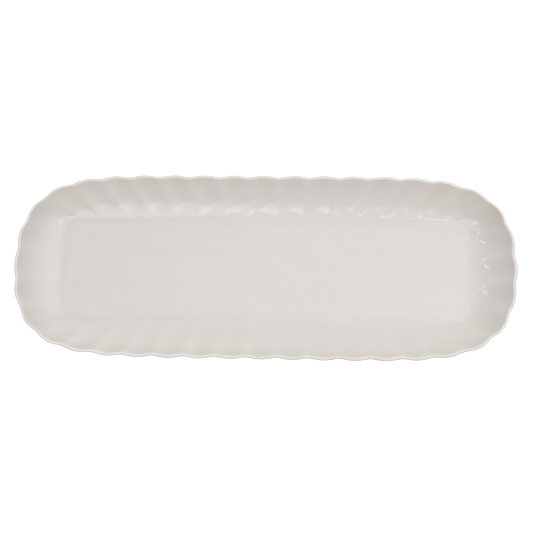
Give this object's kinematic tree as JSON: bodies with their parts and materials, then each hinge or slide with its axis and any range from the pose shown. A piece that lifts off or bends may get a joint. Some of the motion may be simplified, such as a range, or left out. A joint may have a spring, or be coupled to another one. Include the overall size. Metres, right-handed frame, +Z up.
{
  "type": "serving platter",
  "caption": "Long, narrow serving platter in white glazed china, with a scalloped rim, a fluted flaring wall, a flat rectangular well and a low bare foot ring.",
  "frame": {"origin": "middle of the footprint, on the plane of the foot ring's sole, so the platter stands on z = 0", "axes": "+X along the length, +Y across the width, +Z up out of the well"},
  "size_m": [0.3612, 0.134, 0.022],
  "materials": {
    "glaze": "clear glossy glaze over slightly warm white china",
    "bare_china": "matt unglazed china, wiped bare before firing"
  },
  "bodies": {
    "root": {"platter_body": "glaze", "foot_ring": "bare_china"}
  },
  "joints": []
}
